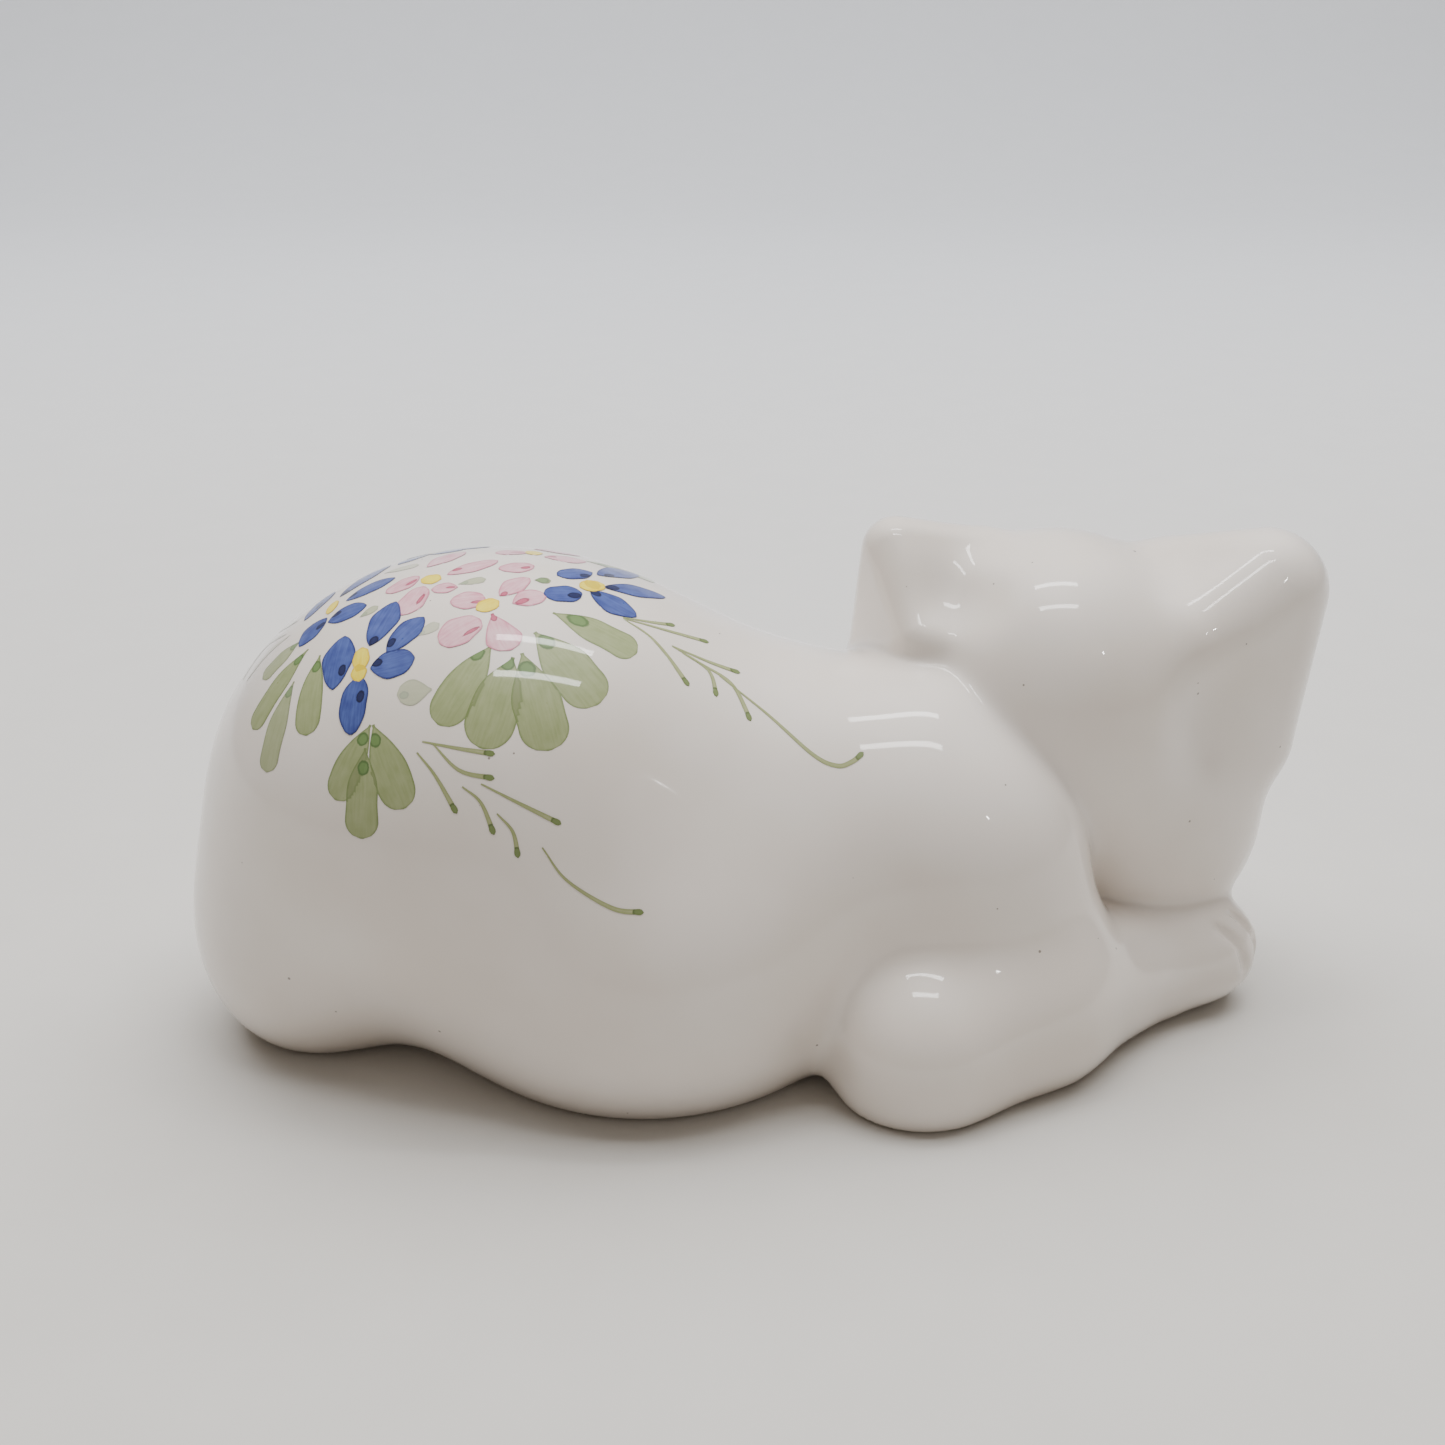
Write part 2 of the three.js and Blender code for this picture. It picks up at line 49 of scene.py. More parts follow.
BASE_MIDDLE = np.array([-0.8, 3.75, 0.0])   # where the frame's origin lies in the figure's axes
WALL = 4.5
VENT_RADIUS = 10.0
VENT_CENTRE = (-24.0, 2.0)
LET_IN = 2.0              # how deep a limb or an ear is let into the mass that carries it
EDGE_ROUND = 1.2          # how far the base and vent edges are rounded
CELL = 1.1
GRID_LOW = (-106.0, -52.0, -4.0)
GRID_HIGH = (106.0, 60.0, 94.0)
PAINT_ORIGIN = np.array([-46.0, 5.0, 35.0])
GRADIENT_STEP = 0.02
SETTLE_PASSES = 4
COARSE_STEP = 4           # far from the skin the field is taken from every fourth grid point
BARE_REACH = 0.6          # faces nearer than this to the hollow are bare clay
FOOT_HEIGHT = 0.25        # and so are faces lower than this whose normals point down
FOOT_FACING = -0.7        # by at least this much

rng = np.random.default_rng(7)


def metre(points):
    """Points in the figure's axes, in millimetres, as points in the frame, in metres."""
    return (np.asarray(points, float) - BASE_MIDDLE) / 1000


# ---- Distances of the masses. Each function takes an (n, 3) array and returns n distances ----


def blend(a, b, width):
    h = np.maximum(width - np.abs(a - b), 0) / width
    return np.minimum(a, b) - h * h * h * width / 6


def keep_both(a, b, width):
    return -blend(-a, -b, width)


def ellipsoid(centre, radii, turn=0.0):
    centre, radii = np.array(centre, float), np.array(radii, float)
    c, s = math.cos(math.radians(turn)), math.sin(math.radians(turn))
    spin = np.array([[c, -s, 0], [s, c, 0], [0, 0, 1]])

    def distance(p):
        q = (p - centre) @ spin
        near = np.sqrt(((q / radii) ** 2).sum(-1))
        slope = np.sqrt(((q / radii**2) ** 2).sum(-1))
        return near * (near - 1) / np.maximum(slope, 1e-9)

    return distance


def round_cone(a, b, r1, r2):
    a, axis = np.array(a, float), np.array(b, float) - np.array(a, float)
    l2, dr = axis @ axis, r1 - r2
    side = l2 - dr * dr

    def distance(p):
        q = p - a
        along = q @ axis
        past = along - l2
        off2 = ((q * l2 - along[..., None] * axis) ** 2).sum(-1)
        edge = np.sign(dr) * dr * dr * off2
        d = (np.sqrt(off2 * side / l2) + along * dr) / l2 - r1
        low = np.sign(along) * side * along**2 * l2 < edge
        d = np.where(low, np.sqrt(off2 + along**2 * l2) / l2 - r1, d)
        high = np.sign(past) * side * past**2 * l2 > edge
        return np.where(high, np.sqrt(off2 + past**2 * l2) / l2 - r2, d)

    return distance


def limb(points, radii, width):
    ends = zip(points, points[1:], radii, radii[1:])
    parts = [round_cone(*end) for end in ends]

    def distance(p):
        d = parts[0](p)
        for part in parts[1:]:
            d = blend(d, part(p), width)
        return d

    return distance


def triangle_distance2(p, a, b, c):
    normal = np.cross(b - a, c - a)
    inside = np.ones(p.shape[:-1], bool)
    nearest = np.full(p.shape[:-1], np.inf)
    for start, end in ((a, b), (b, c), (c, a)):
        edge = end - start
        q = p - start
        inside &= q @ np.cross(edge, normal) <= 0
        share = np.clip(q @ edge / (edge @ edge), 0, 1)
        nearest = np.minimum(nearest, ((q - share[..., None] * edge) ** 2).sum(-1))
    flat = ((p - a) @ normal) ** 2 / (normal @ normal)
    return np.where(inside, flat, nearest)


def swollen_tetrahedron(corners, radius):
    corners = np.array(corners, float)
    faces = [(0, 1, 2), (0, 1, 3), (0, 2, 3), (1, 2, 3)]

    def distance(p):
        depth = np.full(p.shape[:-1], -np.inf)
        outside2 = np.full(p.shape[:-1], np.inf)
        for i, j, k in faces:
            a, b, c = corners[i], corners[j], corners[k]
            normal = np.cross(b - a, c - a)
            normal /= np.linalg.norm(normal)
            if (corners[6 - i - j - k] - a) @ normal > 0:
                normal = -normal
            depth = np.maximum(depth, (p - a) @ normal)
            outside2 = np.minimum(outside2, triangle_distance2(p, a, b, c))
        return np.where(depth < 0, depth, np.sqrt(outside2)) - radius

    return distance


# ---- The masses of the cat, the same as the castings' ----

rump = ellipsoid((-46, 2.5, 41.5), (52, 43, 44.5))
belly = ellipsoid((-20.5, -4.5, 21), (40, 42.5, 34))
chest = ellipsoid((9.5, 2, 35), (34, 29.5, 31))
nape = ellipsoid((29, 1.5, 47.5), (16, 19, 19))
far_shoulder = ellipsoid((30, 20, 29), (26, 20, 27))
haunch = ellipsoid((-79.5, 0.5, 19.5), (22, 27, 25))
near_shoulder = ellipsoid((33, -8.5, 33), (24, 21.5, 25.5))
skull = ellipsoid((52.5, 15, 58), (27, 27, 28.5))
jaw = ellipsoid((70, 16, 33.5), (22.5, 19, 25))
muzzle = ellipsoid((63, 38, 39), (15, 11, 11))
right_ear = swollen_tetrahedron([(89, 14, 76.5), (75.5, 8, 68), (74.5, 20, 73), (86, 15.5, 49)], 11)
left_ear = swollen_tetrahedron([(23.5, 16.5, 83), (28, 6, 71), (38, 19.5, 80), (22, 22.5, 61.5)], 6)
right_forearm = limb([(26.5, -28.5, 9), (46, -17.5, 11), (68, 0, 9)], [15.5, 14.5, 11.5], 10)
right_upper_arm = round_cone((28, -26, 10), (44, -12, 20), 14.5, 15.5)
right_paw = ellipsoid((80, 5, 10), (12, 11, 10.5), 30)
left_foreleg = limb([(34, 36, 13), (54, 41, 12), (76, 33, 10)], [14, 12, 9.5], 10)
tail = limb([(-84, 22, 10), (-62, 37.5, 9), (-28, 43, 8.5), (2, 40, 8)], [11, 9.5, 8.5, 8], 8)


def torso_mass(p):
    d = blend(rump(p), belly(p), 20)
    d = blend(d, chest(p), 34)
    d = blend(d, nape(p), 16)
    d = blend(d, far_shoulder(p), 18)
    d = blend(d, haunch(p), 17)
    return blend(d, near_shoulder(p), 14)


def head_mass(p):
    return blend(blend(skull(p), jaw(p), 24), muzzle(p), 12)


def right_foreleg(p):
    return blend(blend(right_forearm(p), right_upper_arm(p), 12), right_paw(p), 10)


def body_side(p):
    d = blend(torso_mass(p), right_foreleg(p), 9)
    d = blend(d, left_foreleg(p), 10)
    return blend(d, tail(p), 6)


def head_side(p):
    return blend(blend(head_mass(p), right_ear(p), 10), left_ear(p), 9)


# Shallow dips behind the left ear and under the right ear, each with how softly it runs out.
DIPS = [(ellipsoid((32, -1, 83), (7.5, 8, 8)), 8), (ellipsoid((82, -9, 59), (8.5, 9, 12)), 10)]

# The face is on the +Y side: closed lids, a nose, two cheeks and a chin.
FACE = [
    (ellipsoid((45, 37.5, 55), (7.5, 4.5, 5)), 5),
    (ellipsoid((72, 34.5, 56), (7.5, 4.5, 5), -20), 5),
    (ellipsoid((59, 45, 37.5), (6, 5.5, 5)), 3),
    (ellipsoid((68.5, 44.5, 37.5), (6, 5.5, 5)), 3),
    (ellipsoid((64, 46.5, 43), (3.4, 4, 2.6)), 2),
]

# Lines pressed into the clay: the shut eyes, the mouth, and the toes of each front paw.
LINES = [
    [(38.5, 42, 55), (41, 43, 51.5), (45, 43.5, 50), (49, 43, 51.5), (51, 42, 54.5)],
    [(66, 42, 54.5), (68.5, 41, 51.5), (72.5, 40, 50), (76, 38, 51.5), (78.5, 36, 55)],
    [(64, 50, 40), (64, 50, 36), (60.5, 49, 33.5)],
    [(64, 50, 36), (67.5, 49, 33.5)],
    [(83, -3.5, 19), (88, -4.5, 15), (90.5, -4.5, 9)],
    [(86.5, 1.5, 19), (92, 1.5, 14), (94, 1.5, 8)],
    [(81, 29.5, 19), (85.5, 29.5, 14), (87, 29.5, 8)],
    [(80, 35.5, 18), (84, 36, 14), (85.5, 36.5, 8)],
]
LINE_WIDTH = 1.7
grooves = []


def figure(p):
    """The outside of the cat, with its flat base."""
    d = blend(body_side(p), head_side(p), 5)
    for mass, width in FACE:
        d = blend(d, mass(p), width)
    for dip, width in DIPS:
        d = keep_both(d, -dip(p), width)
    for groove in grooves:
        d = keep_both(d, -groove(p), LINE_WIDTH)
    return keep_both(d, -p[..., 2], EDGE_ROUND)


def hollow(p):
    """The space inside the cast wall, with the vent that opens it through the base."""
    inside = keep_both(blend(torso_mass(p), head_mass(p), 5) + WALL, WALL - p[..., 2], EDGE_ROUND)
    off_axis = np.hypot(p[..., 0] - VENT_CENTRE[0], p[..., 1] - VENT_CENTRE[1])
    vent = keep_both(off_axis - VENT_RADIUS, p[..., 2] - 2 * WALL, EDGE_ROUND)
    return blend(inside, vent, EDGE_ROUND)


def cast(p):
    return keep_both(figure(p), -hollow(p), EDGE_ROUND)


def gradient(field, p):
    g = np.empty_like(p)
    for i in range(3):
        d = np.zeros(3)
        d[i] = GRADIENT_STEP
        g[..., i] = (field(p + d) - field(p - d)) / (2 * GRADIENT_STEP)
    return g


def settle(field, p, level=0.0, reach=math.inf):
    """Moves points along the gradient until the field equals level there, by reach at most in each pass."""
    p = p.copy()
    for _ in range(SETTLE_PASSES):
        g = gradient(field, p)
        move = ((level - field(p)) / np.maximum((g * g).sum(-1), 1e-6))[..., None] * g
        length = np.linalg.norm(move, axis=-1, keepdims=True)
        p += move * np.minimum(1, reach / np.maximum(length, 1e-9))
    return p


def unit(v):
    return v / np.maximum(np.linalg.norm(v, axis=-1, keepdims=True), 1e-12)


# Each line of LINES is a thin tube laid half into the surface that was there before it.
pressed = []
for line in LINES:
    laid = settle(figure, np.array(line, float), level=LINE_WIDTH / 8)
    pressed.append(limb([tuple(place) for place in laid], [LINE_WIDTH / 2] * len(line), 0.5))
grooves += pressed


# ---- Materials ----


def new_material(name):
    material = bpy.data.materials.new(name)
    material.use_nodes = True
    return material, material.node_tree, material.node_tree.nodes["Principled BSDF"]


def add(tree, kind, **values):
    """A new node with the values of its properties."""
    node = tree.nodes.new(kind)
    for key, value in values.items():
        setattr(node, key, value)
    return node


def maths(tree, operation, *values):
    """The result of one sum. Each value may be a number or a socket."""
    node = add(tree, "ShaderNodeMath", operation=operation)
    for socket, value in zip(node.inputs, values):
        if isinstance(value, (int, float)):
            socket.default_value = value
        else:
            tree.links.new(value, socket)
    return node.outputs[0]


def product(tree, a, b):
    return maths(tree, "MULTIPLY", a, b)


def fade(tree, value, start, end, curve="SMOOTHSTEP"):
    """0 at start and 1 at end, which may run downwards."""
    node = add(tree, "ShaderNodeMapRange", interpolation_type=curve)
    tree.links.new(value, node.inputs["Value"])
    node.inputs["From Min"].default_value = start
    node.inputs["From Max"].default_value = end
    return node.outputs["Result"]


def mixed(tree, share, a, b):
    """The colour between a and b. Each may be a colour or a socket."""
    node = add(tree, "ShaderNodeMix", data_type="RGBA")
    # A colour mix takes its share at input 0 and its colours at inputs 6 and 7, and gives output 2.
    for socket, value in zip((node.inputs[0], node.inputs[6], node.inputs[7]), (share, a, b)):
        if isinstance(value, tuple):
            socket.default_value = (*value, 1)
        elif isinstance(value, (int, float)):
            socket.default_value = value
        else:
            tree.links.new(value, socket)
    return node.outputs[2]


def noise(tree, vector, scale, detail=2.0, rough=0.5):
    node = add(tree, "ShaderNodeTexNoise")
    tree.links.new(vector, node.inputs["Vector"])
    node.inputs["Scale"].default_value = scale
    node.inputs["Detail"].default_value = detail
    node.inputs["Roughness"].default_value = rough
    return node.outputs["Fac"]


def bumped(tree, shader, height, distance):
    bump = add(tree, "ShaderNodeBump")
    bump.inputs["Distance"].default_value = distance
    tree.links.new(height, bump.inputs["Height"])
    tree.links.new(bump.outputs["Normal"], shader.inputs["Normal"])


GLAZE_LIGHT = (0.875, 0.81, 0.75)
GLAZE_WARM = (0.82, 0.745, 0.67)
WAVES = 42                # slow waves of the pooled glaze, to the metre
WAVE_HEIGHT = 0.00045     # and how far they rise, in metres
SPECK = (0.16, 0.12, 0.09)
SPECK_STRENGTH = 0.75
SPECK_CELLS = 190         # random cells to the metre
SPECK_FREE = 0.3          # the share of the cells that hold no speck
SPECK_SMALLEST = 0.02     # the radius of a speck, as a share of its cell
SPECK_SPREAD = 0.035      # and how much larger the largest is
STREAKS = 0.6             # how far a stroke's colour follows the hairs of the brush


def glossy(shader, roughness):
    """A clear glaze over the colour, whose own roughness is a socket."""
    shader.id_data.links.new(roughness, shader.inputs["Roughness"])
    shader.inputs["Coat Weight"].default_value = 1.0
    shader.inputs["Coat Roughness"].default_value = 0.035
    shader.inputs["Coat IOR"].default_value = 1.52


def glaze_material():
    material, tree, shader = new_material("white_glaze")
    place = add(tree, "ShaderNodeTexCoord").outputs["Object"]
    cloudy = fade(tree, noise(tree, place, 28, 3), 0.35, 0.7)
    colour = mixed(tree, cloudy, GLAZE_LIGHT, GLAZE_WARM)
    # Iron specks: a dark ball in most cells of a random pattern, few of which the surface cuts.
    cells = add(tree, "ShaderNodeTexVoronoi")
    tree.links.new(place, cells.inputs["Vector"])
    cells.inputs["Scale"].default_value = SPECK_CELLS
    chosen = add(tree, "ShaderNodeSeparateColor")
    tree.links.new(cells.outputs["Color"], chosen.inputs[0])
    picked = maths(tree, "GREATER_THAN", chosen.outputs[0], SPECK_FREE)
    size = maths(tree, "MULTIPLY_ADD", chosen.outputs[1], SPECK_SPREAD, SPECK_SMALLEST)
    speck = product(tree, maths(tree, "LESS_THAN", cells.outputs["Distance"], size), picked)
    faint = product(tree, speck, SPECK_STRENGTH)
    tree.links.new(mixed(tree, faint, colour, SPECK), shader.inputs["Base Color"])
    glossy(shader, fade(tree, noise(tree, place, 90, 3), -0.6, 2.2, "LINEAR"))
    # The glaze pools in low, slow waves with fine ripples, and sinks at each speck.
    ripples = product(tree, noise(tree, place, 700, 1), 0.012)
    waves = maths(tree, "ADD", noise(tree, place, WAVES, 1), ripples)
    sunk = product(tree, speck, 0.1)
    bumped(tree, shader, maths(tree, "SUBTRACT", waves, sunk), WAVE_HEIGHT)
    return material


def biscuit_material():
    """Bare fired clay, on the base and inside."""
    material, tree, shader = new_material("bare_clay")
    place = add(tree, "ShaderNodeTexCoord").outputs["Object"]
    grain = noise(tree, place, 900, 4)
    clay = mixed(tree, grain, (0.62, 0.53, 0.43), (0.75, 0.68, 0.58))
    tree.links.new(clay, shader.inputs["Base Color"])
    tree.links.new(fade(tree, grain, -1.5, 1.3, "LINEAR"), shader.inputs["Roughness"])
    bumped(tree, shader, grain, 0.0002)
    return material


def attribute(tree, name):
    return add(tree, "ShaderNodeAttribute", attribute_name=name)


def brush_material(name, wash, full, rim, dot, opacity=(0.25, 0.75)):
    """Watery colour laid on with a brush: streaky along the stroke, pooled at its rim, with a dot.

    Where the stroke crosses an earlier one it is darker, and the rim of the earlier one shows through.
    """
    material, tree, shader = new_material(name)
    brush = attribute(tree, "brush").outputs["Vector"]
    edge = attribute(tree, "edge").outputs["Fac"]
    spot = attribute(tree, "dot").outputs["Fac"]
    under = attribute(tree, "under").outputs["Fac"]
    thin = attribute(tree, "thin").outputs["Fac"]
    place = add(tree, "ShaderNodeTexCoord").outputs["Object"]
    stretched = add(tree, "ShaderNodeMapping")
    tree.links.new(brush, stretched.inputs["Vector"])
    stretched.inputs["Scale"].default_value = (0.2, 2.2, 1.0)
    lines = noise(tree, stretched.outputs[0], 1.0, 4, 0.6)
    blots = noise(tree, place, 420, 2)
    wobble = product(tree, maths(tree, "SUBTRACT", noise(tree, place, 1500, 2), 0.5), 0.3)
    load = maths(tree, "ADD", product(tree, lines, STREAKS), product(tree, blots, 1 - STREAKS))
    colour = mixed(tree, fade(tree, load, *opacity), wash, full)
    twice = tuple(0.7 * c for c in full)
    crossed = product(tree, fade(tree, under, 0.0, 0.2), 0.6)
    colour = mixed(tree, crossed, colour, twice)
    old_rim = product(tree, fade(tree, under, 0.02, 0.15), fade(tree, under, 0.6, 0.25))
    colour = mixed(tree, product(tree, old_rim, 0.45), colour, rim)
    pooled = fade(tree, maths(tree, "ADD", edge, wobble), 0.45, 0.05)
    colour = mixed(tree, product(tree, pooled, 0.75), colour, rim)
    reach = maths(tree, "ADD", spot, wobble)
    colour = mixed(tree, product(tree, fade(tree, reach, 1.15, 0.85), 0.85), colour, dot)
    ring = product(tree, fade(tree, reach, 1.1, 0.95), fade(tree, reach, 0.6, 0.85))
    dark = tuple(0.55 * c for c in dot)
    colour = mixed(tree, product(tree, ring, 0.7), colour, dark)
    tree.links.new(mixed(tree, thin, colour, GLAZE_LIGHT), shader.inputs["Base Color"])
    glossy(shader, fade(tree, blots, -0.6, 2.6, "LINEAR"))
    waves = maths(tree, "ADD", noise(tree, place, WAVES, 1), product(tree, load, 0.02))
    bumped(tree, shader, waves, WAVE_HEIGHT)
    return material


white_glaze = glaze_material()
bare_clay = biscuit_material()
cobalt = brush_material(
    "cobalt_stroke", wash=(0.09, 0.14, 0.42), full=(0.032, 0.05, 0.23), rim=(0.01, 0.018, 0.12),
    dot=(0.006, 0.008, 0.05))
rose = brush_material(
    "rose_stroke", wash=(0.85, 0.55, 0.59), full=(0.72, 0.29, 0.38), rim=(0.6, 0.15, 0.25),
    dot=(0.52, 0.07, 0.15), opacity=(0.35, 0.75))
leaf_green = brush_material(
    "leaf_stroke", wash=(0.38, 0.42, 0.22), full=(0.28, 0.33, 0.14), rim=(0.16, 0.22, 0.07),
    dot=(0.13, 0.24, 0.07))
trail_green = brush_material(
    "trail_stroke", wash=(0.45, 0.46, 0.26), full=(0.34, 0.37, 0.17), rim=(0.28, 0.32, 0.13),
    dot=(0.14, 0.2, 0.06))
yellow = brush_material(
    "yellow_dab", wash=(0.95, 0.8, 0.1), full=(0.9, 0.66, 0.01), rim=(0.8, 0.52, 0.0),
    dot=(0.8, 0.5, 0.0), opacity=(0.35, 0.7))

# ---- The castings ----

PIECES = ["torso", "head", "right_ear", "left_ear", "right_foreleg", "left_foreleg", "tail"]
TORSO, HEAD, RIGHT_EAR, LEFT_EAR, RIGHT_FORELEG, LEFT_FORELEG, TAIL = range(1, 8)


def piece_at(p):
    """Which casting each point of the clay belongs to, as PIECES counts from 1."""
    in_head = head_side(p) < body_side(p)
    ears = np.stack([right_ear(p), left_ear(p)])
    which_ear = RIGHT_EAR + ears.argmin(0)
    on_head = np.where(head_mass(p) < np.maximum(ears.min(0), -LET_IN), HEAD, which_ear)
    limbs = np.stack([right_foreleg(p), left_foreleg(p), tail(p)])
    which_limb = RIGHT_FORELEG + limbs.argmin(0)
    on_body = np.where(torso_mass(p) < np.maximum(limbs.min(0), -LET_IN), TORSO, which_limb)
    return np.where(in_head, on_head, on_body)


def mesh_object(name, vertices, faces, corner_normals):
    mesh = bpy.data.meshes.new(name)
    mesh.from_pydata(metre(vertices).tolist(), [], [list(map(int, f)) for f in faces])
    mesh.polygons.foreach_set("use_smooth", np.ones(len(mesh.polygons), bool))
    mesh.normals_split_custom_set(corner_normals.tolist())
    mesh.update()
    piece = bpy.data.objects.new(name, mesh)
    bpy.context.scene.collection.objects.link(piece)
    return piece


def depths(axes, points):
    """The field on the whole grid: exact near the clay's surface, and coarse elsewhere."""
    coarse = [a[::COARSE_STEP] for a in axes]
    rough = cast(np.stack(np.meshgrid(*coarse, indexing="ij"), -1))
    nearest = [(np.arange(len(a)) + COARSE_STEP // 2) // COARSE_STEP for a in axes]
    picks = np.ix_(*[np.minimum(n, len(c) - 1) for n, c in zip(nearest, coarse)])
    depth = rough[picks].ravel()
    close = np.flatnonzero(np.abs(depth) < COARSE_STEP * CELL)
    depth[close] = cast(points[close])
    return depth


def nets():
    """Closed quad meshes of all the castings at once, on one grid.

    Gives the vertices, their normals where they lie on the skin, the quads, the casting that each quad
    belongs to, and whether it is part of the skin and not of a seam.
    """
    axes = [np.arange(low, high, CELL) for low, high in zip(GRID_LOW, GRID_HIGH)]
    shape = tuple(len(a) for a in axes)
    points = np.stack(np.meshgrid(*axes, indexing="ij"), -1).reshape(-1, 3)
    labels = np.zeros(len(points), np.int8)
    depth = depths(axes, points)
    inside = np.flatnonzero(depth < 0)
    labels[inside] = piece_at(points[inside])
    labels, depth = labels.reshape(shape), depth.reshape(shape)
    # One vertex in each cell whose corners differ: the mean of where its edges change.
    cells = tuple(n - 1 for n in shape)
    total = np.zeros(cells + (3,))
    count = np.zeros(cells)
    open_cell = np.zeros(cells, bool)
    points = points.reshape(shape + (3,))
    corner = [slice(0, -1), slice(1, None)]
    for axis in range(3):
        others = [i for i in range(3) if i != axis]
        for u in range(2):
            for v in range(2):
                index = [None, None, None]
                index[others[0]], index[others[1]] = corner[u], corner[v]
                index[axis] = corner[0]
                a = tuple(index)
                index[axis] = corner[1]
                b = tuple(index)
                change = labels[a] != labels[b]
                skin = change & ((labels[a] == 0) | (labels[b] == 0))
                span = np.where(skin, depth[a] - depth[b], 1)
                share = np.where(skin, depth[a] / np.where(span == 0, 1, span), 0.5)
                place = points[a] + share[..., None] * (points[b] - points[a])
                total += np.where(change[..., None], place, 0)
                count += change
                open_cell |= skin
    used = count > 0
    number = np.full(cells, -1)
    number[used] = np.arange(used.sum())
    vertices = total[used] / count[used][:, None]
    on_skin = open_cell[used]
    vertices[on_skin] = settle(cast, vertices[on_skin], reach=CELL / 3)
    normals = np.zeros_like(vertices)
    normals[on_skin] = unit(gradient(cast, vertices[on_skin]))
    # A quad round each grid edge whose ends differ, for the piece at either end.
    faces, owners, skins = [], [], []
    for axis in range(3):
        u, v = (axis + 1) % 3, (axis + 2) % 3
        inner = [slice(1, -1)] * 3
        inner[axis] = slice(0, -1)
        a = tuple(inner)
        inner[axis] = slice(1, None)
        b = tuple(inner)
        starts = np.argwhere(labels[a] != labels[b])
        starts[:, u] += 1
        starts[:, v] += 1
        ends = starts + np.eye(3, dtype=int)[axis]
        first, second = labels[tuple(starts.T)], labels[tuple(ends.T)]
        ring = []
        for du, dv in ((-1, -1), (0, -1), (0, 0), (-1, 0)):
            cell = starts.copy()
            cell[:, u] += du
            cell[:, v] += dv
            ring.append(number[tuple(cell.T)])
        quad = np.stack(ring, 1)
        bare = (first == 0) | (second == 0)
        faces += [quad[first > 0], quad[second > 0][:, ::-1]]
        owners += [first[first > 0], second[second > 0]]
        skins += [bare[first > 0], bare[second > 0]]
    return vertices, normals, np.concatenate(faces), np.concatenate(owners), np.concatenate(skins)


def castings():
    vertices, normals, faces, owners, skins = nets()
    for number, name in enumerate(PIECES, 1):
        mine = owners == number
        quads, skin = faces[mine], skins[mine]
        used, places = np.unique(quads, return_inverse=True)
        places = places.reshape(quads.shape)
        corners = vertices[quads]
        flat = unit(np.cross(corners[:, 2] - corners[:, 0], corners[:, 3] - corners[:, 1]))
        # The seam faces keep to their own side, so that those flush with the skin shade as it does.
        smooth = normals[quads]
        at_skin = np.linalg.norm(smooth, axis=-1) > 0.5
        away = ~skin & ((smooth * flat[:, None, :]).sum((1, 2)) < 0)
        smooth = np.where(away[:, None, None], -smooth, smooth)
        corner_normals = np.where(at_skin[:, :, None], smooth, flat[:, None, :])
        piece = mesh_object(name + "_surface", vertices[used], places, corner_normals.reshape(-1, 3))
        piece.data.materials.append(white_glaze)
        piece.data.materials.append(bare_clay)
        middles = corners.mean(1)
        underfoot = (middles[:, 2] < FOOT_HEIGHT) & (flat[:, 2] < FOOT_FACING)
        unglazed = skin & (underfoot | (hollow(middles) < BARE_REACH))
        piece.data.polygons.foreach_set("material_index", unglazed.astype(np.int32))
        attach(piece, "root")
        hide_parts(name)


castings()

# ---- Brush strokes ----

RAY_PASSES = 60           # enough to reach the skin from PAINT_ORIGIN
FIRST_LEVEL = 0.03        # the strokes lie one over another in the order they are painted,
LEVEL_STEP = 0.001        # each a little higher
UNDERSIDE = -0.06         # and all reach this far into the glaze
NO_DOT = 9.0              # further from a dot's middle than its colour reaches
LINE_DOT_LENGTH = 0.8     # half the length of the blot that ends a line
LINE_DOT_WIDTH = 0.5      # and half its width
WANDER_WAVES = 2
levels = itertools.count()


def on_body(lean_to_head, lean_to_flank):
    """The point of the body seen from PAINT_ORIGIN at two lean angles from straight up, in degrees."""
    a, b = math.radians(lean_to_head), math.radians(lean_to_flank)
    way = np.array([math.sin(a), -math.cos(a) * math.sin(b), math.cos(a) * math.cos(b)])
    t = 0.0
    for _ in range(RAY_PASSES):
        t -= float(body_side((PAINT_ORIGIN + way * t)[None])[0])
    return PAINT_ORIGIN + way * t


def smooth_route(points, count):
    """Even stations along a Catmull-Rom curve through the points: (places, length)."""
    points = np.array(points, float)
    ends = np.vstack([2 * points[0] - points[1], points, 2 * points[-1] - points[-2]])
    fine = []
    for i in range(len(points) - 1):
        p0, p1, p2, p3 = ends[i:i + 4]
        t = np.linspace(0, 1, 24, endpoint=i == len(points) - 2)[:, None]
        fine.append(0.5 * (2 * p1 + (p2 - p0) * t + (2 * p0 - 5 * p1 + 4 * p2 - p3) * t**2
                           + (3 * p1 - p0 - 3 * p2 + p3) * t**3))
    fine = np.vstack(fine)
    steps = np.r_[0, np.cumsum(np.linalg.norm(np.diff(fine, axis=0), axis=1))]
    even = np.linspace(0, steps[-1], count)
    return np.stack([np.interp(even, steps, fine[:, i]) for i in range(3)], 1), steps[-1]


